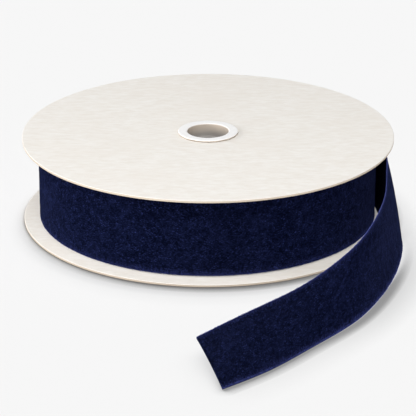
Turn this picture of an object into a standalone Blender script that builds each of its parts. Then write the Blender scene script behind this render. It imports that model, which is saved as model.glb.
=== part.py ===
"""A spool of velvet ribbon lying flat, with its loose end drawn out across the table.

Two round boards are held apart by a plastic hub, and a wide velvet ribbon is wound
between them. Its outer end leaves the roll at the back right, swings out over the
rim of the lower board, comes down to the table and turns from upright to nearly flat.

Lengths are in metres and +Z is up. Every function measures from the point where the
spool's axis meets the table. Plan angles are anticlockwise seen from above, 0 at +X.
"""
import math

import bmesh
import bpy
import numpy as np

MM = 0.001

# Boards
BOARD_RADIUS = 90 * MM
BOARD_THICKNESS = 1.2 * MM
BOARD_EDGE_ROUND = 0.25 * MM
BOARD_SPACING = 40 * MM            # clear height between the two boards

# Hub
BORE_RADIUS = 10 * MM
HUB_RADIUS = 12.5 * MM
HUB_RIM_RADIUS = 14.5 * MM
HUB_RIM_THICKNESS = 0.8 * MM
HUB_RIM_ROUND = 0.3 * MM
HUB_END_RECESS = 0.2 * MM          # the lower end stops this far above the table

# Ribbon
RIBBON_WIDTH = 38.1 * MM
RIBBON_THICKNESS = 1 * MM
ROLL_RADIUS = 83 * MM
ROLL_EDGE_ROUND = 0.6 * MM
SEAM_ANGLE = 23                    # plan angle where the loose end leaves the roll

GAP = 0.3 * MM                     # between pieces that rest on each other
SEAM_GAP = 1 * MM                  # between the end of the last turn and the loose end

# The loose end, one row every 23 to 32 mm along its lower edge from the seam.
# low_x, low_y: the lower edge in plan, mm; clear: its height above the table, mm;
# lean: slope of the width above the horizontal, degrees; facing: plan angle from the
# lower edge towards the upper one, degrees; bow: how far the middle of the width
# bulges outwards, mm.
TAIL_ROW_SPACING = 29 * MM
TAIL_COLUMNS = ("low_x", "low_y", "clear", "lean", "facing", "bow")
TAIL_ROWS = (
    (82.3,   9.5, 1.9, 91, 180, 0.4),
    (85.0, -13.0, 2.4, 87, 158, 0.8),
    (91.5, -36.5, 2.7, 76, 139, 1.1),
    (89.0, -65.5, 0.8, 63, 110, 0.8),
    (80.5, -95.0, 0.0, 53,  95, 0.8),
    (66.0, -126.5, 0.0, 40, 88, 0.8),
    (46.5, -152.5, 0.0, 23, 92, 0.8),
    (27.0, -176.0, 0.0, 18, 100, 0.8),
    (6.0, -195.5, 0.3, 10, 107, 0.8),
)

# Fineness
TURN_STEPS = 96
HUB_STEPS = 64
TAIL_STEPS_ALONG = 80
TAIL_STEPS_ACROSS = 5

HUB_TOP = 2 * BOARD_THICKNESS + BOARD_SPACING + GAP + HUB_RIM_THICKNESS
TOP_BOARD_HEIGHT = BOARD_THICKNESS + BOARD_SPACING
RIBBON_LOW = BOARD_THICKNESS + (BOARD_SPACING - RIBBON_WIDTH) / 2
LAYER = RIBBON_THICKNESS + GAP     # the roll grows by this much in its last turn


def clear_scene():
    for item in list(bpy.data.objects):
        bpy.data.objects.remove(item, do_unlink=True)


def paint(item, name, colour, roughness, sheen=0.0):
    """Gives the object one Principled material of its own."""
    material = bpy.data.materials.new(name)
    material.use_nodes = True
    shader = material.node_tree.nodes["Principled BSDF"]
    shader.inputs["Base Color"].default_value = (*colour, 1)
    shader.inputs["Roughness"].default_value = roughness
    shader.inputs["Metallic"].default_value = 0
    shader.inputs["Sheen Weight"].default_value = sheen
    item.data.materials.append(material)


def add_bevel(item, width, segments):
    bevel = item.modifiers.new("round edges", "BEVEL")
    bevel.width = width
    bevel.segments = segments
    bevel.limit_method = "ANGLE"
    bevel.angle_limit = math.radians(50)
    bevel.use_clamp_overlap = False


def turned(name, profile, steps, collection):
    """A ring turned from a closed (radius, height) outline that runs down its outer side."""
    mesh = bpy.data.meshes.new(name)
    points = [(radius, 0, height) for radius, height in profile]
    edges = [(i, (i + 1) % len(points)) for i in range(len(points))]
    mesh.from_pydata(points, edges, [])
    item = bpy.data.objects.new(name, mesh)
    collection.objects.link(item)
    screw = item.modifiers.new("turn", "SCREW")
    screw.steps = steps
    screw.render_steps = steps
    screw.use_merge_vertices = True
    screw.merge_threshold = 1e-6
    screw.use_smooth_shade = False
    return item


def make_board(name, height, collection):
    """A round board with a hole that the hub passes through; height is its underside."""
    hole = HUB_RADIUS + GAP
    item = turned(name, [
        (hole, BOARD_THICKNESS),
        (BOARD_RADIUS, BOARD_THICKNESS),
        (BOARD_RADIUS, 0),
        (hole, 0),
    ], TURN_STEPS, collection)
    item.location.z = height
    add_bevel(item, BOARD_EDGE_ROUND, 2)
    paint(item, "paperboard", (0.85, 0.80, 0.74), 0.85)
    return item


def make_hub(collection):
    """A tube through both boards with a raised rim on the upper one."""
    rim_height = HUB_TOP - HUB_RIM_THICKNESS
    item = turned("hub", [
        (BORE_RADIUS, HUB_TOP),
        (HUB_RIM_RADIUS, HUB_TOP),
        (HUB_RIM_RADIUS, rim_height),
        (HUB_RADIUS, rim_height),
        (HUB_RADIUS, HUB_END_RECESS),
        (BORE_RADIUS, HUB_END_RECESS),
    ], HUB_STEPS, collection)
    add_bevel(item, HUB_RIM_ROUND, 2)
    paint(item, "white plastic", (0.88, 0.87, 0.85), 0.45)
    return item


def ring_of_points(radius_at, count):
    """Plan points once around the axis, clockwise from the seam."""
    points = []
    for step in range(count):
        turn = step / (count - 1)
        angle = math.radians(SEAM_ANGLE) - turn * math.tau
        radius = radius_at(turn)
        points.append((radius * math.cos(angle), radius * math.sin(angle)))
    return points


def add_outline(curve, points):
    spline = curve.splines.new("POLY")
    spline.points.add(len(points) - 1)
    for knot, (x, y) in zip(spline.points, points):
        knot.co = (x, y, 0, 1)
    spline.use_cyclic_u = True


def make_roll(collection):
    """The wound ribbon: its outside is the last turn, which steps out at the seam."""
    curve = bpy.data.curves.new("ribbon_roll", "CURVE")
    curve.dimensions = "2D"
    curve.fill_mode = "BOTH"
    curve.extrude = RIBBON_WIDTH / 2
    add_outline(curve, ring_of_points(
        lambda turn: ROLL_RADIUS - LAYER * (1 - turn), TURN_STEPS + 1))
    add_outline(curve, ring_of_points(
        lambda turn: HUB_RADIUS + GAP, TURN_STEPS + 1)[:-1])
    flat = bpy.data.objects.new("roll outline", curve)
    collection.objects.link(flat)
    solid = bpy.data.meshes.new_from_object(
        flat.evaluated_get(bpy.context.evaluated_depsgraph_get()))
    bpy.data.objects.remove(flat, do_unlink=True)
    shape = bmesh.new()
    shape.from_mesh(solid)
    bmesh.ops.remove_doubles(shape, verts=shape.verts, dist=1e-6)
    shape.to_mesh(solid)
    shape.free()
    item = bpy.data.objects.new("ribbon_roll", solid)
    collection.objects.link(item)
    item.location.z = RIBBON_LOW + RIBBON_WIDTH / 2
    add_bevel(item, ROLL_EDGE_ROUND, 2)
    paint(item, "navy velvet", (0.008, 0.011, 0.043), 0.9, sheen=0.5)
    return item


def smooth_rows(rows, first, count):
    """Rows of a natural cubic spline through the given rows, read evenly from one of them."""
    rows = np.asarray(rows, float)
    last = len(rows) - 1
    system = np.eye(last + 1)
    bend = np.zeros_like(rows)
    for i in range(1, last):
        system[i, i - 1:i + 2] = (1, 4, 1)
        bend[i] = 6 * (rows[i - 1] - 2 * rows[i] + rows[i + 1])
    curvature = np.linalg.solve(system, bend)
    place = np.linspace(first, last, count)
    start = np.minimum(place.astype(int), last - 1)
    after = (place - start)[:, None]
    before = 1 - after
    return (before * rows[start] + after * rows[start + 1]
            + (before ** 3 - before) * curvature[start] / 6
            + (after ** 3 - after) * curvature[start + 1] / 6)


def wound_row(distance):
    """A row of the table for the ribbon on the roll, at a distance back from its seam end."""
    radius = ROLL_RADIUS - RIBBON_THICKNESS / 2
    angle = math.radians(SEAM_ANGLE) + (distance - SEAM_GAP) / radius
    return (radius * math.cos(angle) / MM, radius * math.sin(angle) / MM,
            RIBBON_LOW / MM, 90, math.degrees(angle) + 180, 0)


def tail_sections():
    """The smoothed table of the loose end, as columns by name, from seam to cut end."""
    rows = (wound_row(TAIL_ROW_SPACING), wound_row(0)) + TAIL_ROWS
    return dict(zip(TAIL_COLUMNS, smooth_rows(rows, 1, TAIL_STEPS_ALONG + 1).T))


def tail_grid():
    """Points of the loose end's middle surface, indexed [along, across]."""
    section = tail_sections()
    lean = np.radians(section["lean"])[:, None]
    facing = np.radians(section["facing"])[:, None]
    across = np.linspace(0, 1, TAIL_STEPS_ACROSS + 1)[None, :]
    reach = across * RIBBON_WIDTH
    bulge = 4 * across * (1 - across) * section["bow"][:, None] * MM
    low = np.maximum(section["clear"], 0)[:, None] * MM
    low = low + RIBBON_THICKNESS / 2 * np.cos(lean)
    level = reach * np.cos(lean) - bulge * np.sin(lean)
    x = section["low_x"][:, None] * MM + level * np.cos(facing)
    y = section["low_y"][:, None] * MM + level * np.sin(facing)
    z = low + reach * np.sin(lean) + bulge * np.cos(lean)
    return np.stack((x, y, z), axis=2)


def make_tail(collection):
    """The loose end: a thin sheet from the seam to a straight cut."""
    grid = tail_grid()
    rows, columns = grid.shape[:2]
    corner = np.arange(rows * columns).reshape(rows, columns)
    faces = np.stack((corner[:-1, :-1], corner[1:, :-1], corner[1:, 1:], corner[:-1, 1:]), axis=2)
    mesh = bpy.data.meshes.new("ribbon_tail")
    mesh.from_pydata(grid.reshape(-1, 3).tolist(), [], faces.reshape(-1, 4).tolist())
    mesh.update()
    mesh.shade_smooth()
    item = bpy.data.objects.new("ribbon_tail", mesh)
    collection.objects.link(item)
    solidify = item.modifiers.new("thickness", "SOLIDIFY")
    solidify.thickness = RIBBON_THICKNESS
    solidify.offset = 0
    solidify.use_even_offset = True
    paint(item, "navy velvet end", (0.010, 0.014, 0.052), 0.9, sheen=0.5)
    return item


def centre_on_origin(items, anchor):
    """Moves the empty that carries the pieces so their footprint's middle is the origin."""
    bpy.context.view_layer.update()
    graph = bpy.context.evaluated_depsgraph_get()
    points = []
    for item in items:
        shown = item.evaluated_get(graph)
        points += [shown.matrix_world @ vertex.co for vertex in shown.data.vertices]
    for axis in (0, 1):
        values = [point[axis] for point in points]
        anchor.location[axis] = -(min(values) + max(values)) / 2
    bpy.context.view_layer.update()


def main():
    clear_scene()
    collection = bpy.data.collections.new("ribbon spool")
    bpy.context.scene.collection.children.link(collection)
    anchor = bpy.data.objects.new("spool axis", None)
    collection.objects.link(anchor)
    items = [
        make_board("flange_bottom", 0, collection),
        make_board("flange_top", TOP_BOARD_HEIGHT, collection),
        make_hub(collection),
        make_roll(collection),
        make_tail(collection),
    ]
    for item in items:
        item.parent = anchor
        if item.name != "ribbon_tail":
            item.data.shade_smooth()
            item.data.set_sharp_from_angle(angle=math.radians(40))
    centre_on_origin(items, anchor)


main()
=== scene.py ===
"""The looks of a spool of velvet ribbon that lies flat with its loose end drawn out.

The frame fixes every size and place. On it this script puts two paperboards with their
cut plies, a moulded hub, the wound turns, the last turn with the loose end in one piece
of velvet, and the pile that shows along its edges. Lengths are in metres and +Z is up.
"""
import math

import bpy
import numpy as np
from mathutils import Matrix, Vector


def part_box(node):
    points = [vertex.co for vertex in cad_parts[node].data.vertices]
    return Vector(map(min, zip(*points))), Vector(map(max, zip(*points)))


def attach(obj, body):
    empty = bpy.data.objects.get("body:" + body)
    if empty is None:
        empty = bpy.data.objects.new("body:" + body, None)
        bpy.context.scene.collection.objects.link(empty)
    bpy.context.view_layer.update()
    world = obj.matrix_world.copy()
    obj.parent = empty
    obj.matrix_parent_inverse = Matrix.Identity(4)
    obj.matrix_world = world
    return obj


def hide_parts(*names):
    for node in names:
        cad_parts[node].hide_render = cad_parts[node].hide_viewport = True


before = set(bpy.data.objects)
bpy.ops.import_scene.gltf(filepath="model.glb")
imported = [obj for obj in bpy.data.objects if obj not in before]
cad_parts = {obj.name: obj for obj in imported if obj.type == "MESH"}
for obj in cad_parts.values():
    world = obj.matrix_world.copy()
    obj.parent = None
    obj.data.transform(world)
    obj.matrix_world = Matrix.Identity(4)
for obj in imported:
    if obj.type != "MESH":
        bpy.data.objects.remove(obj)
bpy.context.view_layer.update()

bl_info = {
    "name": "Velvet ribbon spool",
    "version": (1, 0, 0),
    "blender": (4, 5, 0),
    "location": "3D View > Sidebar > Ribbon Spool",
    "description": "Builds the finished pieces of a spool of velvet ribbon around its frame",
    "category": "Object",
}

MM = 0.001
BODY = "root"

HUB_LOW, HUB_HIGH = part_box("hub")
LOWER_LOW, LOWER_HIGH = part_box("flange_bottom")
UPPER_LOW, UPPER_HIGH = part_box("flange_top")
ROLL_LOW, ROLL_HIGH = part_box("ribbon_roll")
AXIS = np.array(((HUB_LOW.x + HUB_HIGH.x) / 2, (HUB_LOW.y + HUB_HIGH.y) / 2, 0))
BOARD_RADIUS = (UPPER_HIGH.x - UPPER_LOW.x) / 2
RIM_RADIUS = (HUB_HIGH.x - HUB_LOW.x) / 2

# The ribbon as it is wound. The last turn ends at the seam, where the loose end leaves.
RIBBON_WIDTH = ROLL_HIGH.z - ROLL_LOW.z
RIBBON_THICKNESS = 1 * MM
ROLL_RADIUS = 83 * MM
LAST_TURN_GROWTH = 1.3 * MM
SEAM_ANGLE = 23
SEAM_GAP = 1 * MM
OVERLAP_ANGLE = 8                  # the last turn starts this far under its own end
TURN_PITCH = 1.02 * MM
HUB_RADIUS = 12.5 * MM
PILE_ROUNDING = 0.6 * MM           # how far in from its edge the pile reaches full height
PILE_START = 14 * MM               # edge tufts begin this far along, clear of the overlap
CUT_PILE_DEPTH = 0.8 * MM          # how far back from the cut its tufts are rooted

# The lamps on the spool: degrees to the right of straight in front, and above the table.
LAMP_PLACES = {
    "key_light": (-18, 58), "board_key_light": (-18, 58),
    "right_light": (26, 26), "left_light": (-82, 15),
    "back_left_light": (-145, 9), "back_right_light": (145, 9),
    "velvet_right_light": (48, 14), "velvet_left_light": (-75, 14),
}
LAMP_AIM = Vector((*AXIS[:2], 20 * MM))
LAMP_DISTANCE = 1.7                # from there
LAMP_SIZE = 0.9
FLOOR_LAMP_HEIGHT = 60
FLOOR_RADIUS = 24

# The loose end, one row every 23 to 35 mm along its lower edge from the seam.
# low_x, low_y: the lower edge in plan from the axis, mm; clear: its height above the
# table, mm; lean: slope of the width above the horizontal, degrees; facing: plan angle
# from the lower edge towards the upper one, degrees; bow: how far the middle of the
# width bulges outwards, mm.
LOOSE_ROW_SPACING = 29 * MM
LOOSE_ROWS = (
    (82.3,   9.5, 1.9, 91, 180, 0.4),
    (85.0, -13.0, 2.4, 87, 158, 0.8),
    (91.5, -36.5, 2.7, 76, 139, 1.1),
    (89.0, -65.5, 0.8, 63, 110, 0.8),
    (80.5, -95.0, 0.0, 53,  95, 0.8),
    (66.0, -126.5, 0.0, 40, 88, 0.8),
    (46.5, -152.5, 0.0, 23, 92, 0.8),
    (27.0, -176.0, 0.0, 18, 100, 0.8),
    (6.0, -195.5, 0.3, 10, 107, 0.8),
)


# ---------------------------------------------------------------- surfaces

def add_piece(name, points, faces, smooth=True):
    """Makes a mesh object of an array of points and a list of face index arrays."""
    mesh = bpy.data.meshes.new(name)
    polygons = [face for group in faces for face in group.tolist()]
    mesh.from_pydata(points.reshape(-1, 3).tolist(), [], polygons)
    mesh.update()
    if smooth:
        mesh.shade_smooth()
    item = bpy.data.objects.new(name, mesh)
    bpy.context.scene.collection.objects.link(item)
    return item


def add_field(item, name, values):
    """Stores one number or one vector per point as a named attribute."""
    values = np.asarray(values, np.float32)
    if values.ndim > 1 and values.shape[-1] == 3:
        field = item.data.attributes.new(name, "FLOAT_VECTOR", "POINT")
        field.data.foreach_set("vector", values.reshape(-1))
    else:
        field = item.data.attributes.new(name, "FLOAT", "POINT")
        field.data.foreach_set("value", values.reshape(-1))


def grid_faces(rows, columns, close_rows=False, close_columns=False):
    """Quads between neighbouring points of a grid that may close on itself either way."""
    index = np.arange(rows * columns).reshape(rows, columns)
    if close_rows:
        index = np.vstack((index, index[:1]))
    if close_columns:
        index = np.hstack((index, index[:, :1]))
    return np.stack((index[:-1, :-1], index[1:, :-1], index[1:, 1:], index[:-1, 1:]),
                    axis=2).reshape(-1, 4)


def tube_faces(rows, columns, turned=False):
    """Sides and both end faces of a closed section carried along a path."""
    first = np.arange(columns)[None, :]
    last = first + (rows - 1) * columns
    faces = (grid_faces(rows, columns, close_columns=True), first, last[:, ::-1])
    return [face[:, ::-1] for face in faces] if turned else faces


def turned_points(outline, steps):
    """Carries a closed (radius, height) outline round the axis.

    x = axis x + radius times cos(angle), y = axis y + radius times sin(angle),
    z = height, for steps equal angles.
    """
    angle = np.arange(steps) * math.tau / steps
    radius, height = np.asarray(outline, float).T
    x = AXIS[0] + radius[None, :] * np.cos(angle)[:, None]
    y = AXIS[1] + radius[None, :] * np.sin(angle)[:, None]
    return columns_of(x, y, height)


def add_turned(name, outline, steps):
    """Makes a piece of the outline carried round the axis; gives its points as well."""
    points = turned_points(outline, steps)
    faces = grid_faces(*points.shape[:2], True, True)[:, ::-1]
    return add_piece(name, points, [faces]), points


def columns_of(*values):
    """Stands numbers and arrays side by side, one row per point."""
    return np.stack(np.broadcast_arrays(*values), axis=-1)


def arc(centre_radius, centre_height, size, first, last, count):
    """Points of a circular arc in the (radius, height) plane, angles in degrees."""
    angle = np.radians(np.linspace(first, last, count))
    return columns_of(centre_radius + size * np.cos(angle), centre_height + size * np.sin(angle))


def blotches(u, v, cell, seed):
    """Smooth random heights from -1 to 1 over the plane.

    Random values stand on a square lattice of that cell, and between its corners they
    are blended with weights 3t^2 - 2t^3.
    """
    chance = np.random.default_rng(seed)
    u, v = np.broadcast_arrays(u / cell, v / cell)
    u, v = u - u.min(), v - v.min()
    lattice = chance.uniform(-1, 1, (int(u.max()) + 2, int(v.max()) + 2))
    i, j = u.astype(int), v.astype(int)
    s, t = u - i, v - j
    s, t = s * s * (3 - 2 * s), t * t * (3 - 2 * t)
    return ((lattice[i, j] * (1 - s) + lattice[i + 1, j] * s) * (1 - t)
            + (lattice[i, j + 1] * (1 - s) + lattice[i + 1, j + 1] * s) * t)


# ---------------------------------------------------------------- boards and hub

def board_outline(hole, low, high, rounding, groove):
    """A board's closed section: flat faces with rings, a rounded rim and a cut wall.

    The wall's radius dips by the groove's depth where the two plies meet, as
    depth times the square of the cosine of the height across the middle third.
    """
    rings = np.concatenate((np.linspace(hole + 1 * MM, BOARD_RADIUS - 4 * MM, 14),
                            (BOARD_RADIUS - 1.5 * MM, BOARD_RADIUS - 0.7 * MM)))
    height = np.linspace(low + rounding, high - rounding, 9)
    across = (height - (low + high) / 2) / ((high - low) / 6)
    dip = groove * np.cos(np.clip(across, -1, 1) * math.pi / 2) ** 2
    outer = BOARD_RADIUS - rounding
    return np.concatenate((
        columns_of(rings, high),
        arc(outer, high - rounding, rounding, 90, 0, 6)[:-1],
        columns_of(BOARD_RADIUS - dip, height)[::-1],
        arc(outer, low + rounding, rounding, 0, -90, 6)[1:],
        columns_of(rings[::-1], low),
        [(hole + 0.1 * MM, low), (hole, low + 0.1 * MM),
         (hole, high - 0.1 * MM), (hole + 0.1 * MM, high)],
    ))


def make_board(name, node, steps, rounding, groove):
    """A round paperboard over a board of the frame."""
    low, high = (corner.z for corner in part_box(node))
    hole = HUB_RADIUS + 0.3 * MM
    item, points = add_turned(name, board_outline(hole, low, high, rounding, groove), steps)
    add_field(item, "depth", (high - points[:, :, 2]) / (high - low))
    return item


def hub_outline(bore, rim_thick, ledge_depth, ledge):
    """The hub's closed section: a rounded rim over a tube whose bore steps in once."""
    low, high = HUB_LOW.z, HUB_HIGH.z
    rim_low = high - rim_thick
    mouth, rim_edge, foot, step = 0.55 * MM, 0.32 * MM, 0.3 * MM, 0.12 * MM
    bore_in = bore - ledge
    shelf = high - ledge_depth
    wall_out = np.linspace(rim_low - 1.5 * MM, low + 1 * MM, 6)
    wall_in = np.linspace(low + 1.5 * MM, shelf - 1.2 * MM, 8)
    above_shelf = shelf + np.array((0.1, 1.2, 2.4, 3.6, 4.6, 5.4)) * MM
    return np.concatenate((
        arc(bore + mouth, high - mouth, mouth, 180, 90, 8),
        [(bore + 1.3 * MM, high), (RIM_RADIUS - 1.3 * MM, high)],
        arc(RIM_RADIUS - rim_edge, high - rim_edge, rim_edge, 90, -10, 8),
        [(RIM_RADIUS - 0.12 * MM, rim_low + 0.06 * MM), (RIM_RADIUS - 0.3 * MM, rim_low),
         (HUB_RADIUS + 0.25 * MM, rim_low), (HUB_RADIUS, rim_low - 0.2 * MM)],
        columns_of(HUB_RADIUS, wall_out),
        arc(HUB_RADIUS - foot, low + foot, foot, 0, -90, 5),
        arc(bore_in + foot, low + foot, foot, -90, -180, 5),
        columns_of(bore_in, wall_in),
        arc(bore_in + step, shelf - step, step, 180, 90, 4),
        [(bore - 0.05 * MM, shelf + 0.02 * MM)],
        columns_of(bore, above_shelf),
    ))


def make_hub(name, steps, bore, rim_thick, ledge_depth, ledge):
    """The moulded hub with its rim on the upper board.

    bore, the mask of the shade painted in the bore, goes from 0 at the mouth to 1 at the ledge; the mask
    of the shade painted under the rim is 1 low on the rim's side.
    """
    outline = hub_outline(bore, rim_thick, ledge_depth, ledge)
    item, points = add_turned(name, outline, steps)
    depth = HUB_HIGH.z - outline[:, 1]
    # Masks of where shade is painted: down the bore, and low on the rim's side.
    in_bore = (outline[:, 0] < bore + 0.3 * MM) * (
        0.15 * np.clip(depth / (0.8 * MM), 0, 1) + 0.85 * np.clip(depth / ledge_depth, 0, 1))
    on_side = outline[:, 0] > RIM_RADIUS - 1 * MM
    under_rim = on_side * np.clip(depth / rim_thick - 0.2, 0, 0.4) * 2.5
    add_field(item, "bore", np.broadcast_to(in_bore, points.shape[:2]))
    add_field(item, "rim_shade", np.broadcast_to(under_rim, points.shape[:2]))
    return item


# ---------------------------------------------------------------- the ribbon's path

def smooth_rows(rows, wanted):
    """Rows of a natural cubic spline through the given rows, at fractional row numbers.

    Second differences solve the usual (1, 4, 1) system with zero at both ends.
    """
    last = len(rows) - 1
    system = np.eye(last + 1)
    bend = np.zeros_like(rows)
    for i in range(1, last):
        system[i, i - 1:i + 2] = (1, 4, 1)
        bend[i] = 6 * (rows[i - 1] - 2 * rows[i] + rows[i + 1])
    curvature = np.linalg.solve(system, bend)
    start = np.minimum(wanted.astype(int), last - 1)
    after = (wanted - start)[:, None]
    before = 1 - after
    return (before * rows[start] + after * rows[start + 1]
            + (before ** 3 - before) * curvature[start] / 6
            + (after ** 3 - after) * curvature[start + 1] / 6)


def wound_rows(angle, radius):
    """Rows of the table for ribbon on the roll: upright, facing the axis, angles in degrees."""
    turn, radius = np.radians(angle), radius / MM
    return columns_of(radius * np.cos(turn), radius * np.sin(turn), ROLL_LOW.z / MM, 90.0,
                      angle + 180, 0.0)


def outer_path(step):
    """Rows and distances along the last turn and the loose end.

    Over the last turn the middle radius grows evenly to its full size at the seam.
    The loose end follows the spline through its table. Distance is 0 where it starts.
    """
    middle = ROLL_RADIUS - RIBBON_THICKNESS / 2
    seam_turn = math.degrees(SEAM_GAP / middle)
    angle = np.arange(SEAM_ANGLE + OVERLAP_ANGLE, SEAM_ANGLE - 360 - seam_turn,
                      -math.degrees(step / middle))
    turn = np.minimum((SEAM_ANGLE - angle) / 360, 1)
    wound = wound_rows(angle, middle - LAST_TURN_GROWTH * (1 - turn))
    back = math.degrees(LOOSE_ROW_SPACING / middle)
    ends = SEAM_ANGLE - 360 - seam_turn + np.array((back, 0.0))
    table = np.array(LOOSE_ROWS, float)
    table[:, 4] -= 360
    table = np.vstack((wound_rows(ends, middle), table))
    count = int((len(table) - 2) * LOOSE_ROW_SPACING / step) + 1
    rows = np.vstack((wound, smooth_rows(table, np.linspace(1, len(table) - 1, count))))
    gaps = np.hypot(*np.diff(rows[:, :2], axis=0).T) * MM
    distance = np.concatenate(((0,), np.cumsum(gaps)))
    return rows, distance - distance[len(wound)]


def wound_path(steps):
    """Rows of the turns under the last one, from its start inwards to the hub.

    The radius falls evenly, by one pitch in each turn.
    """
    first = ROLL_RADIUS - RIBBON_THICKNESS / 2 - LAST_TURN_GROWTH * (1 + OVERLAP_ANGLE / 360)
    inner = HUB_RADIUS + 0.1 * MM + RIBBON_THICKNESS / 2
    turns = np.arange(0, (first - inner) / TURN_PITCH, 1 / steps)
    angle = SEAM_ANGLE + OVERLAP_ANGLE + 0.2 + 360 * turns
    return wound_rows(angle, first - TURN_PITCH * turns), turns


def place(rows, reach, height):
    """Points on the ribbon for reach across it from its lower edge and height off its middle.

    With lean L, facing F and bulge b = 4a(1-a) times bow at a = reach/width, a point is
    the lower edge, plus (reach cos L - b sin L) along F, plus (reach sin L + b cos L) up,
    plus the height along the normal.
    """
    low_x, low_y, clear, lean, facing, bow = (rows[..., i, None] for i in range(6))
    lean, facing, bow = np.radians(lean), np.radians(facing), bow * MM
    share = reach / RIBBON_WIDTH
    bulge = 4 * share * (1 - share) * bow
    slope = 4 * (1 - 2 * share) * bow / RIBBON_WIDTH
    level = reach * np.cos(lean) - bulge * np.sin(lean)
    rise = reach * np.sin(lean) + bulge * np.cos(lean)
    out_level = -(np.sin(lean) + slope * np.cos(lean)) / np.sqrt(1 + slope ** 2)
    out_up = (np.cos(lean) - slope * np.sin(lean)) / np.sqrt(1 + slope ** 2)
    level = level + height * out_level
    base = np.maximum(clear, 0) * MM + RIBBON_THICKNESS / 2 * np.cos(lean)
    return columns_of(AXIS[0] + low_x * MM + level * np.cos(facing),
                      AXIS[1] + low_y * MM + level * np.sin(facing),
                      base + rise + height * out_up)


# ---------------------------------------------------------------- the ribbon's pieces

def pile_rise(reach):
    """How far the pile has risen, 0 on either edge and 1 from PILE_ROUNDING inwards.

    With e the share of that distance, it is the square root of 1 - (1 - e)^2.
    """
    edge = np.minimum(reach, RIBBON_WIDTH - reach)
    return np.sqrt(1 - (1 - np.clip(edge / PILE_ROUNDING, 0, 1)) ** 2)


def add_cloth(item, along, reach, height):
    """Stores where each point lies on the ribbon: along it, across it and off its middle."""
    add_field(item, "cloth", columns_of(along, reach, height))


def ribbon_section(columns, back_columns):
    """One closed section of velvet ribbon as (reach, height, pile) columns.

    The pile side rises from each edge by pile_rise and is level between; under it lies
    the flat ground cloth. pile is 1 on the pile and 0 on the cloth. With t even from 0 to
    1, reach is the width times 0.7t + 0.15(1 - cos 180t), so columns crowd at the edges.
    """
    share = np.linspace(0, 1, columns)
    reach = RIBBON_WIDTH * (0.7 * share + 0.15 * (1 - np.cos(math.pi * share)))
    extra = np.array((0.12, 0.3)) * MM
    reach = np.sort(np.concatenate((reach, extra, RIBBON_WIDTH - extra)))
    top = columns_of(reach, (-0.12 + 0.62 * pile_rise(reach)) * MM, 1.0)
    below = np.linspace(0.15 * MM, RIBBON_WIDTH - 0.15 * MM, back_columns)
    under = columns_of(below, -0.5 * MM, 0.0)
    low_edge = np.array(((0.03, -0.42, 0), (0.02, -0.2, 0))) * MM
    high_edge = (low_edge * (-1, 1, 1) + (RIBBON_WIDTH, 0, 0))[::-1]
    return np.concatenate((top, high_edge, under[::-1], low_edge))


def pile_relief(distance, reach):
    """Height of the pile's clumps and soft hollows.

    It is the sum of blotches 1.5, 4 and 14 mm across, sunk by 0.1 mm.
    """
    return (-0.10 + 0.055 * blotches(distance, reach, 1.5 * MM, 11)
            + 0.035 * blotches(distance, reach, 4 * MM, 12)
            + 0.06 * blotches(distance, reach, 14 * MM, 13)) * MM


def make_ribbon(name, step, columns):
    """The last turn and the loose end as one closed sheet, with its pile side outwards.

    Each row of the path carries one section, and the pile's relief fades in over 1 mm
    from both edges. Also gives the ribbon's length along the middle of its width.
    """
    rows, distance = outer_path(step)
    reach, height, pile = ribbon_section(columns, 12).T
    edge = np.minimum(reach, RIBBON_WIDTH - reach)
    fade = pile * np.clip(edge / (1 * MM), 0, 1)
    along = np.broadcast_to(distance[:, None], (len(rows), len(reach)))
    heights = height + fade * pile_relief(along, reach)
    points = place(rows, reach, heights)
    item = add_piece(name, points, tube_faces(len(rows), len(reach), turned=True))
    add_cloth(item, along, reach, heights)
    middle = place(rows, np.array((RIBBON_WIDTH / 2,)), 0.0)[:, 0]
    return item, float(np.linalg.norm(np.diff(middle, axis=0), axis=1).sum())


def make_wound_turns(name, steps):
    """All the turns under the last one: a thin section carried in along its spiral.

    Its lower edge wanders up and down by up to 0.12 mm as it goes round.
    """
    rows, turns = wound_path(steps)
    half, soft = 0.5 * MM, 0.25 * MM
    wander = 0.12 * MM * blotches(turns, 0 * turns, 0.35, 21)
    rows[:, 2] += wander / MM
    section = np.array((
        (0, -0.1 * MM), (soft, half), (RIBBON_WIDTH - soft, half), (RIBBON_WIDTH, -0.1 * MM),
        (RIBBON_WIDTH - 0.1 * MM, -half), (0.1 * MM, -half)))
    reach, height = section.T
    points = place(rows, reach, height)
    item = add_piece(name, points, tube_faces(len(rows), len(reach)))
    radius = np.hypot(rows[:, 0], rows[:, 1]) * MM
    along = np.cumsum(radius) * math.tau / steps
    add_cloth(item, along[:, None], reach, height)
    return item


def tufts(root, direction, side, length, width):
    """Closed three-sided spikes, one per root: three points round the root and a tip.

    The root triangle's points lie at 0, 120 and 240 degrees round the direction, and
    the tip lies one length along it.
    """
    direction = direction / np.linalg.norm(direction, axis=1, keepdims=True)
    side = side - (side * direction).sum(1, keepdims=True) * direction
    side = side / np.linalg.norm(side, axis=1, keepdims=True)
    other = np.cross(direction, side)
    turn = np.radians((0, 120, 240))[None, :, None]
    ring = (root[:, None] - 0.12 * MM * direction[:, None]
            + width[:, None, None] * (np.cos(turn) * side[:, None] + np.sin(turn) * other[:, None]))
    tip = root + length[:, None] * direction
    points = np.concatenate((ring, tip[:, None]), axis=1)
    first = 4 * np.arange(len(root))[:, None, None]
    faces = (first + np.array(((0, 2, 1), (0, 1, 3), (1, 2, 3), (2, 0, 3)))).reshape(-1, 3)
    return points, faces


def rows_at(rows, distance, wanted):
    """Rows of the path read at the wanted distances by straight interpolation."""
    return columns_of(*(np.interp(wanted, distance, row) for row in rows.T))


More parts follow.
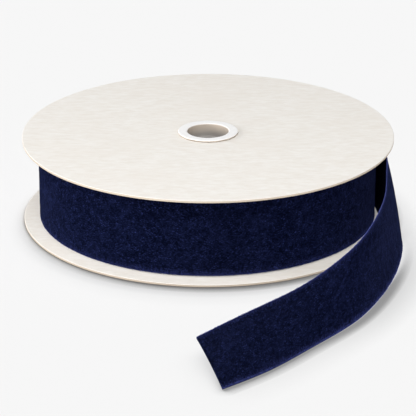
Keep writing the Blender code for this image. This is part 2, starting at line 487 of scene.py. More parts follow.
def make_edge_pile(name, path, reach_of, lean_of, first, last, per_mm, size, seed):
    """Pile that stands out along one edge of the ribbon, as one piece of uneven tufts.

    reach_of and lean_of turn a random depth from 0 to 1 into the reach across the ribbon
    and the outward lean, so that tufts on the very edge lean out the most. A tuft points
    straight out of the pile, plus its lean across the ribbon, plus some chance along it and
    across it. On the roll the tufts are shorter, because the boards stand close by. tip is
    1 on each free tip.
    """
    rows, distance = path
    chance = np.random.default_rng(seed)
    count = int((last - first) / MM * per_mm)
    along = np.sort(chance.uniform(first, last, count))
    depth = chance.uniform(0, 1, count)
    reach, lean_out = reach_of(depth), lean_of(depth)
    height = (-0.12 + 0.56 * pile_rise(reach)) * MM
    there = rows_at(rows, distance, along)
    root = place(there, reach[:, None], height[:, None])[:, 0]
    out = place(there, reach[:, None], height[:, None] + MM)[:, 0] - root
    across = place(there, reach[:, None] + MM, height[:, None])[:, 0] - root
    ahead = np.cross(across, out)
    mix = chance.normal(0, 0.22, (count, 2))
    direction = (out * (1 - 0.75 * np.abs(lean_out))[:, None] + across * lean_out[:, None]
                 + ahead * mix[:, :1]) / MM + across * mix[:, 1:] / MM * 0.6
    clump = 0.7 + 0.3 * blotches(along, 1.3 * reach, 1.1 * MM, seed + 1)
    on_roll = np.interp(along, (-10 * MM, 20 * MM), (0.55, 1))
    long = size * clump * chance.uniform(0.55, 1.1, count) * on_roll
    wide = chance.uniform(0.05, 0.1, count) * MM
    points, faces = tufts(root, direction, ahead, long, wide)
    points[..., 2] = np.maximum(points[..., 2], 0.02 * MM)
    item = add_piece(name, points, [faces], smooth=False)
    add_field(item, "cloth", np.repeat(columns_of(along, reach, height), 4, axis=0))
    add_field(item, "tip", np.tile((0, 0, 0, 1), count))
    return item


# ---------------------------------------------------------------- node helpers

def feed(tree, node, inputs):
    """Sets a node's inputs, given by name or number.

    Another node's output is linked to the input, and anything else is its value.
    """
    for name, value in inputs.items():
        if isinstance(value, bpy.types.NodeSocket):
            tree.links.new(value, node.inputs[name])
        else:
            node.inputs[name].default_value = value


def add_node(tree, kind, inputs, **settings):
    """Adds a shader node of a kind with its settings and its inputs."""
    made = tree.nodes.new("ShaderNode" + kind)
    for name, value in settings.items():
        setattr(made, name, value)
    feed(tree, made, inputs)
    return made


def maths(tree, operation, first, second, clamp=False):
    return add_node(tree, "Math", {0: first, 1: second},
                    operation=operation, use_clamp=clamp).outputs[0]


def remap(tree, value, low, high, to_low=0.0, to_high=1.0, kind="LINEAR"):
    """Carries the range from low to high over to the other range, held at its ends."""
    return add_node(tree, "MapRange", {
        "Value": value, "From Min": low, "From Max": high, "To Min": to_low, "To Max": to_high},
        interpolation_type=kind).outputs["Result"]


def blend(tree, factor, first, second):
    """Mixes two colours; 6 and 7 are the node's colour inputs and 2 its colour output."""
    return add_node(tree, "Mix", {0: factor, 6: first, 7: second},
                    data_type="RGBA").outputs[2]


def read_field(tree, name, output="Fac"):
    return add_node(tree, "Attribute", {}, attribute_name=name).outputs[output]


def axis_of(tree, vector, axis):
    return add_node(tree, "SeparateXYZ", {"Vector": vector}).outputs[axis]


def stretch(tree, vector, scale, turn=0.0):
    """The vector scaled along each axis and turned about Z."""
    return add_node(tree, "Mapping", {
        "Vector": vector, "Rotation": (0, 0, turn), "Scale": scale}).outputs["Vector"]


def add_bump(tree, shader, strength, distance, height):
    bump = add_node(tree, "Bump", {
        "Strength": strength, "Distance": distance, "Height": height})
    feed(tree, shader, {"Normal": bump.outputs["Normal"]})


def noise(tree, vector, scale, detail=2.0, roughness=0.5, distortion=0.0):
    return add_node(tree, "TexNoise", {
        "Vector": vector, "Scale": scale, "Detail": detail, "Roughness": roughness,
        "Distortion": distortion}).outputs["Fac"]


def colour(values):
    return (*values, 1.0)


def arrange(tree):
    """Sets the nodes out in columns, each node one column left of what it feeds."""
    column = {node: 0 for node in tree.nodes}
    for _ in range(len(tree.nodes)):
        moved = False
        for link in tree.links:
            wanted = column[link.to_node] + 1
            if column[link.from_node] < wanted:
                column[link.from_node] = wanted
                moved = True
        if not moved:
            break
    filled = {}
    for node in tree.nodes:
        at = column[node]
        node.location = (-230 * at, -260 * filled.get(at, 0))
        filled[at] = filled.get(at, 0) + 1


def new_material(name):
    material = bpy.data.materials.new(name)
    material.use_nodes = True
    tree = material.node_tree
    return material, tree, tree.nodes["Principled BSDF"]


def new_group(name, inputs, outputs):
    """Starts a shader node group with named sockets and returns it with its two ends."""
    group = bpy.data.node_groups.new(name, "ShaderNodeTree")
    for label, kind, value in inputs:
        socket = group.interface.new_socket(label, in_out="INPUT", socket_type=kind)
        if value is not None:
            socket.default_value = value
    for label, kind in outputs:
        group.interface.new_socket(label, in_out="OUTPUT", socket_type=kind)
    return group, group.nodes.new("NodeGroupInput"), group.nodes.new("NodeGroupOutput")


# ---------------------------------------------------------------- materials

def pile_group():
    """Velvet pile: clumps, grain and soft clouds of deep and lit colour over the cloth.

    Cloth is the place on the ribbon in metres: along it, across it, and off its middle.
    Near the two edges the pile is lightened by a painted sheen, uneven and ending in a thin line on the
    very edge.
    """
    known = bpy.data.node_groups.get("velvet_pile")
    if known:
        return known
    group, start, end = new_group("velvet_pile", (
        ("Cloth", "NodeSocketVector", None),
        ("Deep Colour", "NodeSocketColor", (0.003, 0.004, 0.016, 1)),
        ("Lit Colour", "NodeSocketColor", (0.012, 0.016, 0.06, 1)),
        ("Glint Colour", "NodeSocketColor", (0.03, 0.04, 0.13, 1)),
        ("Edge Sheen Colour", "NodeSocketColor", (0.03, 0.04, 0.13, 1)),
        ("Clump Scale", "NodeSocketFloat", 950.0),
        ("Edge Width", "NodeSocketFloat", 3.0 * MM),
        ("Line Width", "NodeSocketFloat", 0.4 * MM),
        ("Edge Sheen Strength", "NodeSocketFloat", 0.85),
    ), (("Colour", "NodeSocketColor"), ("Height", "NodeSocketFloat")))
    cloth, deep, lit, glint, edge, scale, edge_width, line_width, edge_sheen_strength = start.outputs[:9]

    def pattern(vector, share, *shape):
        """Noise at a share of the clumps' own scale."""
        return noise(group, vector, maths(group, "MULTIPLY", scale, share), *shape)

    slanted = stretch(group, cloth, (0.7, 1.35, 1.0), 0.75)
    clumps = pattern(cloth, 1.0, 2.0, 0.6)
    grain = pattern(slanted, 1.8, 1.5, 0.6)
    tufted = pattern(cloth, 0.36, 2.0, 0.6)
    clouds = pattern(cloth, 0.085, 3.0, 0.55)
    streaks = pattern(stretch(group, cloth, (1.0, 0.22, 0.0)), 1.3, 2.0, 0.6)
    spots = pattern(slanted, 1.9, 1.0, 0.5, 0.4)

    # Painted sheen near both edges: an uneven band and a thin line on the very edge.
    across = axis_of(group, cloth, "Y")
    other = maths(group, "SUBTRACT", RIBBON_WIDTH, across)
    inward = maths(group, "DIVIDE", maths(group, "MINIMUM", across, other), edge_width)
    fade = maths(group, "DIVIDE", inward, remap(group, streaks, 0.3, 0.7, 0.25, 1.9), clamp=True)
    sheen_band = maths(group, "MULTIPLY", maths(group, "POWER", maths(group, "SUBTRACT", 1.0, fade), 1.4),
                    remap(group, grain, 0.38, 0.62, 0.15, 0.75))
    line = maths(group, "MAXIMUM", remap(group, across, line_width, 0.0),
                 remap(group, other, maths(group, "MULTIPLY", line_width, 3.5), 0.0))
    edge_sheen_mask = maths(group, "MULTIPLY", maths(group, "MAXIMUM", sheen_band, line), edge_sheen_strength)

    raised = remap(group, clumps, 0.36, 0.66, 0.0, 0.42)
    for layer, dark, light in ((grain, -0.28, 0.50), (tufted, -0.20, 0.28)):
        raised = maths(group, "ADD", raised, remap(group, layer, 0.36, 0.66, dark, light))
    raised = maths(group, "ADD", raised, remap(group, clouds, 0.35, 0.68, -0.12, 0.22), clamp=True)
    glints = maths(group, "MULTIPLY", remap(group, spots, 0.58, 0.72),
                   remap(group, tufted, 0.4, 0.6, 0.3, 1.0))
    shade = blend(group, glints, blend(group, raised, deep, lit), glint)
    feed(group, end, {
        "Colour": blend(group, edge_sheen_mask, shade, edge),
        "Height": maths(group, "ADD", maths(group, "MULTIPLY", tufted, 0.55),
                        maths(group, "MULTIPLY", grain, 0.45))})
    arrange(group)
    return group


def painted_edge_sheen(tree, cloth, wound, loose):
    """Strength of the painted sheen on the edges, from wound to loose where the ribbon leaves the roll;
    the lower value on the roll paints the shade between the boards.

    Towards the cut end, where the ribbon lies flat, it falls to half of that.
    """
    along = axis_of(tree, cloth, "X")
    return maths(tree, "MULTIPLY", remap(tree, along, -10 * MM, 20 * MM, wound, loose),
                 remap(tree, along, 130 * MM, 230 * MM, 1.0, 0.5))


def finish_velvet(tree, shader, looks):
    """The shader values that are the same all over the velvet."""
    feed(tree, shader, {
        "Metallic": 0.0, "IOR": 1.45, "Specular IOR Level": 0.0, "Sheen Weight": looks.sheen,
        "Sheen Roughness": looks.sheen_roughness, "Sheen Tint": colour(looks.sheen_colour)})


def velvet_material(looks):
    """Navy velvet outside and its darker plain-woven ground cloth on the back."""
    known = bpy.data.materials.get("navy_velvet")
    if known:
        return known
    material, tree, shader = new_material("navy_velvet")
    cloth = read_field(tree, "cloth", "Vector")
    # The pile, with painted sheen along its edges, weaker on the roll where it paints the boards' shade.
    pile = add_node(tree, "Group", {
        "Cloth": cloth, "Deep Colour": colour(looks.deep), "Lit Colour": colour(looks.lit),
        "Glint Colour": colour(looks.glint), "Edge Sheen Colour": colour(looks.edge),
        "Edge Sheen Strength": painted_edge_sheen(tree, cloth, 0.42, 0.85)}, node_tree=pile_group())
    back = remap(tree, axis_of(tree, cloth, "Z"), -0.10 * MM, -0.22 * MM)
    threads = [add_node(tree, "TexWave", {
        "Vector": cloth, "Scale": 700.0, "Distortion": 0.6, "Detail": 1.0, "Detail Scale": 2.0},
        bands_direction=direction, wave_profile="SIN").outputs["Fac"] for direction in ("X", "Y")]
    weave = maths(tree, "MULTIPLY", *threads)
    ground = blend(tree, weave, colour(looks.cloth_dark), colour(looks.cloth_light))
    feed(tree, shader, {"Base Color": blend(tree, back, pile.outputs["Colour"], ground),
                        "Roughness": remap(tree, back, 0, 1, 0.95, 0.8)})
    add_bump(tree, shader, 0.8, 1.0 * MM, blend(tree, back, pile.outputs["Height"], weave))
    finish_velvet(tree, shader, looks)
    arrange(tree)
    return material


def pile_edge_material(looks):
    """Single tufts of pile, deep at the root and lighter at the tip with painted sheen."""
    material, tree, shader = new_material("navy_pile_tufts")
    cloth = read_field(tree, "cloth", "Vector")
    edge = colour(looks.edge)
    pile = add_node(tree, "Group", {
        "Cloth": cloth, "Deep Colour": colour(looks.lit), "Lit Colour": edge,
        "Glint Colour": edge, "Edge Sheen Colour": edge}, node_tree=pile_group())
    # Painted sheen on the free tips; on the roll it is weaker, painting the shade between the boards.
    tip_sheen = maths(tree, "MULTIPLY", read_field(tree, "tip"), painted_edge_sheen(tree, cloth, 0.25, 0.7))
    feed(tree, shader, {
        "Base Color": blend(tree, tip_sheen, pile.outputs["Colour"], colour(looks.tip)),
        "Roughness": 0.9})
    finish_velvet(tree, shader, looks)
    arrange(tree)
    return material


def board_material(looks):
    """Cream paper with wavy fibres on the faces and two tan plies on the cut edge."""
    material, tree, shader = new_material("cream_paperboard")
    spot = add_node(tree, "TexCoord", {}).outputs["Object"]
    wave = add_node(tree, "TexNoise", {
        "Vector": spot, "Scale": 28.0, "Detail": 1.0}).outputs["Color"]
    shift = add_node(tree, "VectorMath", {0: wave, "Scale": 6 * MM}, operation="SCALE").outputs[0]
    bent = add_node(tree, "VectorMath", {0: spot, 1: shift}, operation="ADD").outputs[0]
    long_fibres = noise(tree, stretch(tree, bent, (0.36, 1.0, 0.3)), 420.0, 4.0, 0.62)
    fine_fibres = noise(tree, stretch(tree, bent, (0.3, 1.0, 0.3)), 1100.0, 2.0, 0.6)
    patches = noise(tree, spot, 32.0, 3.0, 0.55)
    fibre = maths(tree, "ADD", maths(tree, "MULTIPLY", long_fibres, 0.7),
                  maths(tree, "MULTIPLY", fine_fibres, 0.3))
    paper = blend(tree, remap(tree, fibre, 0.36, 0.64), colour(looks.paper_shade), colour(looks.paper))
    paper = blend(tree, remap(tree, patches, 0.45, 0.75, 0.0, 0.5), paper, colour(looks.paper_warm))
    depth = read_field(tree, "depth")
    plies = add_node(tree, "ValToRGB", {"Fac": depth})
    ramp = plies.color_ramp
    ramp.interpolation = "EASE"
    stops = ((0.0, looks.liner), (0.10, looks.liner), (0.24, looks.ply), (0.46, looks.ply),
             (0.53, looks.ply_light), (0.60, looks.ply), (0.86, looks.ply_dark), (0.95, looks.ply))
    while len(ramp.elements) < len(stops):
        ramp.elements.new(1.0)
    for element, (position, shade) in zip(ramp.elements, stops):
        element.position, element.color = position, colour(shade)
    on_edge = maths(tree, "MULTIPLY", maths(tree, "GREATER_THAN", depth, 0.004),
                    maths(tree, "LESS_THAN", depth, 0.996))
    fuzz = remap(tree, noise(tree, spot, 2500.0, 1.0), 0.35, 0.65, 0.0, 0.35)
    edge = blend(tree, fuzz, plies.outputs["Color"], colour(looks.ply_dark))
    feed(tree, shader, {
        "Base Color": blend(tree, on_edge, paper, edge), "Specular IOR Level": 0.3,
        "Roughness": remap(tree, fibre, 0.3, 0.7, 0.82, 0.94)})
    add_bump(tree, shader, 0.25, 0.2 * MM, fibre)
    arrange(tree)
    return material


def hub_material(looks):
    """White moulded plastic, greyer down the bore (partly the wall's own tone, partly painted shade) and
    with painted shade under the rim.
    """
    material, tree, shader = new_material("white_hub_plastic")
    grain = noise(tree, add_node(tree, "TexCoord", {}).outputs["Object"], 900.0, 2.0)
    bore = read_field(tree, "bore")
    white = blend(tree, remap(tree, grain, 0.3, 0.7), colour(looks.white_shade), colour(looks.white))
    # The bore's grey-tan is partly the wall's own tone and partly painted shade, darker down at the
    # ledge.
    down = blend(tree, remap(tree, bore, 0.2, 1.0, kind="SMOOTHSTEP"),
                 colour(looks.bore_tone_and_shade), colour(looks.bore_deep_shade))
    inner = blend(tree, remap(tree, bore, 0.0, 0.15), white, down)
    # Painted shade under the rim, over the white and the bore.
    feed(tree, shader, {
        "Base Color": blend(tree, read_field(tree, "rim_shade"), inner, colour(looks.rim_shade)),
        "Roughness": remap(tree, grain, 0.3, 0.7, 0.38, 0.5)})
    add_bump(tree, shader, 0.08, 0.1 * MM, grain)
    arrange(tree)
    return material


def shade_near(tree, reach, strength, lean, turn):
    """Painted shade on the floor from what stands within reach, looked for back and to the left.

    The look leans back from straight up by one angle and turns left by the other.
    """
    level = math.sin(lean)
    looking = add_node(tree, "CombineXYZ", {
        "X": -level * math.sin(turn), "Y": level * math.cos(turn), "Z": math.cos(lean)}).outputs[0]
    seen = add_node(tree, "AmbientOcclusion", {
        "Distance": reach, "Normal": looking}, samples=32)
    return maths(tree, "MULTIPLY", maths(tree, "SUBTRACT", 1.0, seen.outputs["AO"]), strength)


def floor_material(looks):
    """Plain pale floor, with painted shade where something stands on it or close over it."""
    material, tree, shader = new_material("pale_floor")
    close = shade_near(tree, looks.contact, looks.contact_strength, looks.contact_lean, looks.shade_turn)
    wide = shade_near(tree, looks.shade, looks.shade_strength, looks.shade_lean, looks.shade_turn)
    share = remap(tree, maths(tree, "ADD", close, wide), 0.0, 1 - looks.contact_floor,
                  looks.floor, looks.contact_floor * looks.floor)
    feed(tree, shader, {"Base Color": share, "Roughness": 1.0, "Specular IOR Level": 0.0})
    arrange(tree)
    return material


# ---------------------------------------------------------------- settings

def colour_of(label, text, value):
    return bpy.props.FloatVectorProperty(name=label, description=text, default=value,
                                         size=3, subtype="COLOR", min=0, max=1)


def length_of(label, text, value, high=1.0):
    return bpy.props.FloatProperty(name=label, description=text, default=value, min=0, max=high,
                                   precision=5, subtype="DISTANCE", unit="LENGTH")


def angle_of(label, text, degrees):
    return bpy.props.FloatProperty(name=label, description=text, default=math.radians(degrees),
                                   subtype="ANGLE")


def angles_of(label, text, degrees):
    """Four angles: to the left, to the right, to the front and to the back."""
    return bpy.props.FloatVectorProperty(name=label, description=text, size=4, unit="ROTATION",
                                         default=[math.radians(each) for each in degrees])


def share_of(label, text, value):
    return bpy.props.FloatProperty(name=label, description=text, default=value, min=0, max=1,
                                   subtype="FACTOR")


def strength_of(label, text, value):
    return bpy.props.FloatProperty(name=label, description=text, default=value, min=0)


def count_of(label, text, value, low):
    return bpy.props.IntProperty(name=label, description=text, default=value, min=low)


class SpoolRibbonSettings(bpy.types.PropertyGroup):
    """Sizes and colours of the velvet ribbon."""
    step: length_of("Step", "Spacing of the ribbon's sections along its length", 0.66 * MM)
    columns: count_of("Columns", "Sections across the pile side", 60, 8)
    turn_steps: count_of("Turn steps", "Sections in one wound turn", 60, 12)
    tuft_length: length_of("Tuft length", "Length of the pile that shows along the edges", 0.55 * MM)
    deep: colour_of("Deep", "Between the clumps of pile", (0.0008, 0.0012, 0.0050))
    lit: colour_of("Lit", "On the clumps of pile", (0.0035, 0.0050, 0.0187))
    glint: colour_of("Glint", "Single tufts that catch the light", (0.0120, 0.0165, 0.060))
    # Painted sheen along both edges of the ribbon.
    edge: colour_of("Edge", "Along both edges, where the pile opens", (0.032, 0.040, 0.150))
    # Painted sheen on the tips of single tufts.
    tip: colour_of("Tip", "Tips of single tufts", (0.085, 0.105, 0.300))
    cloth_dark: colour_of("Cloth dark", "Ground cloth between its threads", (0.006, 0.008, 0.022))
    cloth_light: colour_of("Cloth light", "Ground cloth on its threads", (0.020, 0.025, 0.065))
    sheen: share_of("Sheen", "Strength of the pile's sheen", 0.085)
    sheen_roughness: share_of("Sheen spread", "Spread of the pile's sheen", 0.35)
    sheen_colour: colour_of("Sheen colour", "Colour of the pile's sheen", (0.19, 0.24, 0.62))


class SpoolBoardSettings(bpy.types.PropertyGroup):
    """Sizes and colours of the two paperboards."""
    steps: count_of("Steps", "Sections round a board", 360, 48)
    rounding: length_of("Rounding", "Radius of the rim's two edges", 0.25 * MM)
    groove: length_of("Groove", "Depth of the line between the two plies", 0.06 * MM)
    paper: colour_of("Paper", "Cream paper", (0.82, 0.80, 0.765))
    paper_shade: colour_of("Paper shade", "Cream paper between its fibres", (0.755, 0.718, 0.665))
    paper_warm: colour_of("Paper warm", "Warmer patches of the paper", (0.77, 0.725, 0.67))
    liner: colour_of("Liner", "Cut edge of the cream paper", (0.84, 0.81, 0.77))
    ply: colour_of("Ply", "Cut edge of the grey-tan board", (0.60, 0.51, 0.41))
    ply_light: colour_of("Ply light", "Line between the two plies", (0.70, 0.62, 0.52))
    ply_dark: colour_of("Ply dark", "Shaded fibres of the cut edge", (0.57, 0.48, 0.385))


class SpoolHubSettings(bpy.types.PropertyGroup):
    """Sizes and colours of the hub."""
    steps: count_of("Steps", "Sections round the hub", 144, 24)
    bore: length_of("Bore", "Radius of the spindle hole", 10 * MM)
    rim_thick: length_of("Rim", "Thickness of the rim", 0.8 * MM)
    ledge_depth: length_of("Ledge depth", "How far down the bore steps in", 6.6 * MM)
    ledge: length_of("Ledge", "How far the bore steps in", 0.35 * MM)
    white: colour_of("White", "White plastic", (0.92, 0.915, 0.91))
    white_shade: colour_of("White shade", "White plastic in its grain", (0.89, 0.885, 0.88))
    # Down the bore a colour that is partly the wall's own tone and partly painted shade, darker at the
    # ledge.
    bore_tone_and_shade: colour_of("Bore colour", "Greyed plastic at the top of the bore", (0.57, 0.49, 0.41))
    bore_deep_shade: colour_of("Bore dark", "Greyed plastic down at the ledge", (0.31, 0.29, 0.27))
    # Painted shade under the rim.
    rim_shade: colour_of("Skirt", "Dull underside of the rim", (0.62, 0.50, 0.38))


class SpoolStageSettings(bpy.types.PropertyGroup):
    """The floor, the light and the camera."""
    floor: share_of("Floor", "Paleness of the floor", 0.8)
    contact: length_of("Contact", "How far the strong darkening beside the spool reaches", 6 * MM)
    contact_strength: strength_of("Contact strength", "Strength of that darkening", 2.2)
    contact_lean: angle_of("Contact lean", "How far back from straight up it looks", 110)
    contact_floor: share_of("Contact floor", "Share of the floor's paleness left at its darkest", 0.33)
    shade: length_of("Shade", "How far the weak darkening beside the spool reaches", 20 * MM)
    shade_strength: strength_of("Shade strength", "Strength of the weak darkening", 0.7)
    shade_lean: angle_of("Shade lean", "How far back from straight up it looks", 60)
    shade_turn: angle_of("Shade turn", "How far from straight back to the left both look", 25)
    fill: strength_of("Fill", "Even light from all round", 0.08)
    key: strength_of("Key", "Main light on the spool, from the front left", 0.78)
    board_key_colour: colour_of("Board key colour", "Colour of the lower board's main light",
                                (1.0, 0.982, 0.955))
    right: strength_of("Right", "Weaker light on the spool from the right", 0.42)
    left: strength_of("Left", "Weaker light on the spool from the left", 0.75)
    back: strength_of("Back", "Each weaker light on the spool from behind", 0.2)
    velvet_right: strength_of("Velvet right", "Low right light on the velvet only", 0.95)
    velvet_left: strength_of("Velvet left", "Low left light on the velvet only", 1.5)
    floor_light: strength_of("Floor light", "Light on the floor", 1.108)
    floor_wide: share_of("Wide share", "Share of the light on the floor that is wide", 0.18)
    narrow_reach: angles_of("Narrow light", "How far the narrow floor light reaches from overhead",
                            (1.5, 1.8, 3, 3))
    wide_reach: angles_of("Wide light", "How far the wide floor light reaches from overhead",
                          (6, 6.5, 5, 27))
    elevation: angle_of("Elevation", "Height of the camera above the horizontal", 21.8)
    distance: length_of("Distance", "From the camera to the spool's axis", 1.1264, 10)
    lens: bpy.props.FloatProperty(name="Lens", description="Focal length", default=198.3,
                                  min=1, unit="CAMERA")


# ---------------------------------------------------------------- operators

def add_to_frame(item, material, slot, *nodes):
    """Gives a finished piece its material and its body, and hides the frame's nodes it stands for; slot
    is not used.
    """
    item.data.materials.append(material)
    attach(item, BODY)
    if nodes:
        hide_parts(*nodes)


def gather(name, items):
    """A named collection of objects, for a light to reach or to be blocked by."""
    group = bpy.data.collections.new(name)
    for item in items:
        group.objects.link(item)
    return group


def add_lamp(name, strength, at, distance, size, lit, blocked_by):
    """A soft rectangular light at a distance from what it lights; returns its object.

    strength is the light that falls on a face turned to it, as a share of full white.
    Only what is gathered in lit receives it, and only what is in blocked_by stops it.
    """
    light = bpy.data.lights.new(name, "AREA")
    light.shape = "RECTANGLE"
    light.size, light.size_y = size
    light.energy = strength * math.pi * math.pi * distance ** 2
    lamp = bpy.data.objects.new(name, light)
    lamp.location = at
    lamp.light_linking.receiver_collection = lit
    lamp.light_linking.blocker_collection = blocked_by
    bpy.context.scene.collection.objects.link(lamp)
    return lamp


def add_spool_lamp(name, strength, lit, blocked_by):
    """A light that faces LAMP_AIM from its place in LAMP_PLACES."""
    turn, rise = np.radians(LAMP_PLACES[name])
    towards = Vector((math.sin(turn) * math.cos(rise), -math.cos(turn) * math.cos(rise), math.sin(rise)))
    lamp = add_lamp(name, strength, LAMP_AIM + LAMP_DISTANCE * towards, LAMP_DISTANCE,
                    (LAMP_SIZE, LAMP_SIZE), lit, blocked_by)
    lamp.rotation_mode = "QUATERNION"
    lamp.rotation_quaternion = towards.to_track_quat("Z", "Y")


def add_floor_lamp(name, strength, reach, lit, blocked_by):
    """A level light high over the table, reaching left, right, front and back by angles."""
    left, right, front, back = FLOOR_LAMP_HEIGHT * np.tan(reach) * (-1, 1, -1, 1)
    at = (AXIS[0] + (left + right) / 2, AXIS[1] + (front + back) / 2, FLOOR_LAMP_HEIGHT)
    add_lamp(name, strength, at, FLOOR_LAMP_HEIGHT, (right - left, back - front), lit, blocked_by)


class SPOOL_OT_boards(bpy.types.Operator):
    """Make the two round paperboards"""
    bl_idname = "spool.boards"
    bl_label = "Make Boards"

    def execute(self, context):
        looks = context.scene.spool_boards
        material = board_material(looks)
        for name, node in (("board_lower", "flange_bottom"), ("board_upper", "flange_top")):
            board = make_board(name, node, looks.steps, looks.rounding, looks.groove)
            add_to_frame(board, material, "paperboard", node)
        return {"FINISHED"}


class SPOOL_OT_hub(bpy.types.Operator):
    """Make the hub"""
    bl_idname = "spool.hub"
    bl_label = "Make Hub"

    def execute(self, context):
        looks = context.scene.spool_hub
        hub = make_hub("hub_tube", looks.steps, looks.bore, looks.rim_thick,
                       looks.ledge_depth, looks.ledge)
        add_to_frame(hub, hub_material(looks), "hub_plastic", "hub")
        return {"FINISHED"}


class SPOOL_OT_wound_turns(bpy.types.Operator):
    """Make the turns of ribbon under the last one"""
    bl_idname = "spool.wound_turns"
    bl_label = "Make Wound Turns"

    def execute(self, context):
        looks = context.scene.spool_ribbon
        turns = make_wound_turns("wound_turns", looks.turn_steps)
        add_to_frame(turns, velvet_material(looks), "velvet", "ribbon_roll")
        return {"FINISHED"}


class SPOOL_OT_ribbon(bpy.types.Operator):
    """Make the last turn and the loose end of the ribbon"""
    bl_idname = "spool.ribbon"
    bl_label = "Make Ribbon"

    def execute(self, context):
        looks = context.scene.spool_ribbon
        ribbon, middle_length = make_ribbon("velvet_ribbon", looks.step, looks.columns)
        add_to_frame(ribbon, velvet_material(looks), "velvet", "ribbon_roll", "ribbon_tail")
        return {"FINISHED"}


class SPOOL_OT_edge_pile(bpy.types.Operator):
    """Make the pile that stands out along the ribbon's edges"""
    bl_idname = "spool.edge_pile"
    bl_label = "Make Edge Pile"

    def execute(self, context):
        looks = context.scene.spool_ribbon
        path = outer_path(looks.step)
        first, last = path[1][0] + PILE_START, path[1][-1]
        tufted, cut = pile_edge_material(looks), velvet_material(looks)

        def low_reach(depth):
            return (0.05 + 0.5 * depth ** 1.5) * MM

        for name, reach_of, lean_of, start, per_mm, seed, material in (
                ("pile_lower_edge", low_reach, lambda depth: -0.9 * (1 - depth), first, 20, 31, tufted),
                ("pile_upper_edge", lambda depth: RIBBON_WIDTH - low_reach(depth),
                 lambda depth: 0.9 * (1 - depth), first, 16, 32, tufted),
                ("pile_cut_end", lambda depth: depth * RIBBON_WIDTH,
                 lambda depth: 0 * depth, last - CUT_PILE_DEPTH, 900, 33, cut)):
            pile = make_edge_pile(name, path, reach_of, lean_of, start, last, per_mm,
                                  looks.tuft_length, seed)
            add_to_frame(pile, material, "velvet")
        return {"FINISHED"}


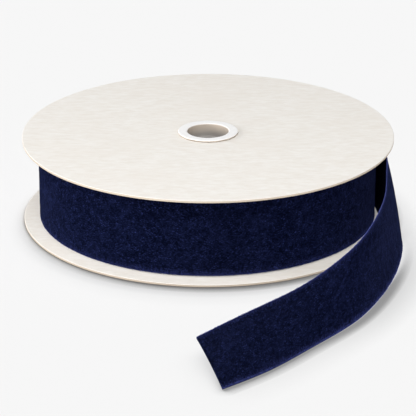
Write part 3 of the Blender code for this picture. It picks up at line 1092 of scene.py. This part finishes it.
class SPOOL_OT_stage(bpy.types.Operator):
    """Make the floor, the lights and the camera"""
    bl_idname = "spool.stage"
    bl_label = "Make Stage"

    def execute(self, context):
        looks = context.scene.spool_stage
        scene = context.scene
        ring = FLOOR_RADIUS * np.array((0.02, 0.1, 0.4, 1.0))
        angle = np.arange(64) * math.tau / 64
        points = columns_of(ring[:, None] * np.cos(angle), ring[:, None] * np.sin(angle), 0.0)
        faces = grid_faces(len(ring), len(angle), close_columns=True)
        floor = add_piece("floor", points, [faces, np.arange(len(angle))[None, :]])
        floor.data.materials.append(floor_material(looks))

        pieces = [item for item in scene.objects if item.type == "MESH" and item is not floor]
        lower, turns = scene.objects["board_lower"], scene.objects["wound_turns"]
        all_but_lower = gather("all_but_lower_board", [item for item in pieces if item is not lower])
        velvet = gather("velvet_pieces", [item for item in pieces
                                          if item.name.startswith(("velvet", "wound", "pile"))])
        stiff = gather("stiff_pieces", [lower, turns, scene.objects["board_upper"],
                                        scene.objects["hub_tube"]])
        spool = gather("spool", pieces)
        only_floor = gather("only_floor", [floor])
        for name, share, reach in (("floor_light", 1 - looks.floor_wide, looks.narrow_reach),
                                   ("floor_wide_light", looks.floor_wide, looks.wide_reach)):
            add_floor_lamp(name, share * looks.floor_light, reach, only_floor, stiff)
        for name, strength, lit, blocked_by in (
                ("key_light", looks.key, all_but_lower, None),
                ("right_light", looks.right, spool, stiff),
                ("left_light", looks.left, spool, None),
                ("back_left_light", looks.back, spool, None),
                ("back_right_light", looks.back, spool, None),
                ("board_key_light", looks.key, gather("lower_board", [lower]), gather("turns", [turns])),
                ("velvet_right_light", looks.velvet_right, velvet, stiff),
                ("velvet_left_light", looks.velvet_left, velvet, stiff)):
            add_spool_lamp(name, strength, lit, blocked_by)
        bpy.data.lights["board_key_light"].color = looks.board_key_colour

        world = bpy.data.worlds.new("studio")
        world.use_nodes = True
        tree = world.node_tree
        tree.nodes.clear()
        seen = add_node(tree, "Background", {"Color": (0.93, 0.93, 0.93, 1), "Strength": 1.0})
        light = add_node(tree, "Background", {"Color": (1, 1, 1, 1), "Strength": looks.fill})
        rays = add_node(tree, "LightPath", {})
        mixed = add_node(tree, "MixShader", {
            0: rays.outputs["Is Camera Ray"], 1: light.outputs[0], 2: seen.outputs[0]})
        add_node(tree, "OutputWorld", {"Surface": mixed.outputs[0]})
        arrange(tree)
        scene.world = world
        scene.view_settings.view_transform = "Standard"

        camera = bpy.data.cameras.new("camera")
        camera.lens, camera.sensor_width = looks.lens, 36
        camera.clip_start, camera.clip_end = 0.05, 60
        holder = bpy.data.objects.new("camera", camera)
        back = Vector((0, -math.cos(looks.elevation), math.sin(looks.elevation)))
        holder.location = Vector((*AXIS[:2], 3 * MM)) + back * looks.distance
        holder.rotation_mode = "QUATERNION"
        holder.rotation_quaternion = (-back).to_track_quat("-Z", "Y")
        scene.collection.objects.link(holder)
        scene.camera = holder
        return {"FINISHED"}


class SPOOL_PT_sidebar(bpy.types.Panel):
    """Lists the steps that build the spool"""
    bl_label = "Ribbon Spool"
    bl_idname = "SPOOL_PT_sidebar"
    bl_space_type = "VIEW_3D"
    bl_region_type = "UI"
    bl_category = "Ribbon Spool"

    def draw(self, context):
        scene = context.scene
        for settings, steps in (
                (scene.spool_boards, (SPOOL_OT_boards,)),
                (scene.spool_hub, (SPOOL_OT_hub,)),
                (scene.spool_ribbon, (SPOOL_OT_wound_turns, SPOOL_OT_ribbon, SPOOL_OT_edge_pile)),
                (scene.spool_stage, (SPOOL_OT_stage,))):
            box = self.layout.box()
            for name in settings.__annotations__:
                box.prop(settings, name)
            for step in steps:
                box.operator(step.bl_idname)


SETTINGS = {
    "spool_boards": SpoolBoardSettings,
    "spool_hub": SpoolHubSettings,
    "spool_ribbon": SpoolRibbonSettings,
    "spool_stage": SpoolStageSettings,
}
STEPS = (SPOOL_OT_boards, SPOOL_OT_hub, SPOOL_OT_wound_turns, SPOOL_OT_ribbon,
         SPOOL_OT_edge_pile, SPOOL_OT_stage)


def register():
    for kind in (*SETTINGS.values(), *STEPS, SPOOL_PT_sidebar):
        bpy.utils.register_class(kind)
    for name, kind in SETTINGS.items():
        setattr(bpy.types.Scene, name, bpy.props.PointerProperty(type=kind))


def unregister():
    for name in SETTINGS:
        delattr(bpy.types.Scene, name)
    for kind in reversed((*SETTINGS.values(), *STEPS, SPOOL_PT_sidebar)):
        bpy.utils.unregister_class(kind)


def main():
    register()
    bpy.ops.spool.boards()
    bpy.ops.spool.hub()
    bpy.ops.spool.wound_turns()
    bpy.ops.spool.ribbon()
    bpy.ops.spool.edge_pile()
    bpy.ops.spool.stage()


if __name__ == "__main__":
    main()
